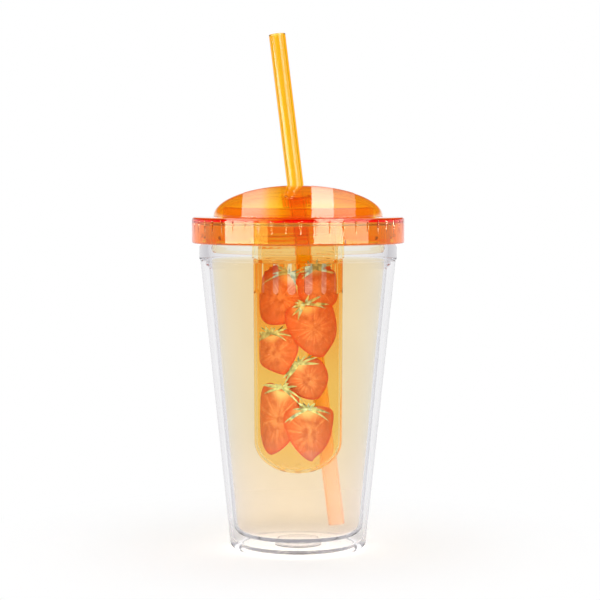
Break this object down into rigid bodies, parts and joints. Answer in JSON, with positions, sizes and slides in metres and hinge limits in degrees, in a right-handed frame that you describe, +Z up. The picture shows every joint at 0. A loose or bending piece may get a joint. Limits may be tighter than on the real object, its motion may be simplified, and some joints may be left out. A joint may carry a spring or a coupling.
{
  "type": "infuser tumbler",
  "caption": "Double-wall clear tumbler with a quick-turn orange lid and dome, an infuser basket screwed under the lid and a leaning straw.",
  "frame": {"origin": "middle of the cup's foot, on the surface it stands on", "axes": "+Z up along the cup's axis, -Y to the side on which the infuser hangs, +X to the right seen from there"},
  "size_m": [0.1, 0.1, 0.2449],
  "materials": {
    "clear_outer": "polished clear",
    "clear_inner": "polished clear",
    "clear_plug": "polished clear",
    "orange_lid": "polished see-through orange",
    "orange_plug_ring": "polished see-through orange",
    "orange_socket": "polished see-through orange",
    "orange_dome": "polished see-through orange",
    "orange_basket": "polished see-through light orange",
    "orange_straw": "polished see-through yellow-orange",
    "grommet_sleeve": "smooth soft rubber",
    "seal_ring": "satin soft rubber"
  },
  "bodies": {
    "cup": {"outer_cup": "clear_outer", "base_plug": "clear_plug", "inner_cup": "clear_inner"},
    "lid_seal": {"lid_seal": "seal_ring"},
    "lid": {"lid_base": "orange_lid", "plug_ring": "orange_plug_ring", "infuser_socket": "orange_socket", "lid_dome": "orange_dome"},
    "infuser_seal": {"infuser_seal": "seal_ring"},
    "infuser": {"infuser_basket": "orange_basket"},
    "straw_grommet": {"straw_grommet": "grommet_sleeve"},
    "straw": {"straw": "orange_straw"}
  },
  "joints": [
    {"name": "lid_lift", "type": "slide", "parent": "cup", "child": "lid_seal", "axis": [0, 0, 1], "range_m": [0, 0.15]},
    {"name": "lid_turn", "type": "hinge", "parent": "lid_seal", "child": "lid", "pos_m": [0, 0, 0.1549], "axis": [0, 0, 1], "range_deg": [-45, 0]},
    {"name": "infuser_drop", "type": "slide", "parent": "lid", "child": "infuser_seal", "axis": [0, 0, -1], "range_m": [0, 0.00801]},
    {"name": "infuser_twist", "type": "hinge", "parent": "infuser_seal", "child": "infuser", "pos_m": [0, -0.01, 0.1373], "axis": [0, 0, -1], "range_deg": [0, 720]},
    {"name": "straw_spin", "type": "hinge", "parent": "lid", "child": "straw_grommet", "pos_m": [-0.00107, 0.01992, 0.16974], "axis": [-0.1208, 0.0644, 0.9906], "continuous": true},
    {"name": "straw_slide", "type": "slide", "parent": "straw_grommet", "child": "straw", "axis": [-0.1208, 0.0644, 0.9906], "range_m": [0, 0.165]}
  ],
  "couplings": [
    {"joint": "infuser_drop", "follows": "infuser_twist", "m_per_rad": 0.00063662}
  ]
}
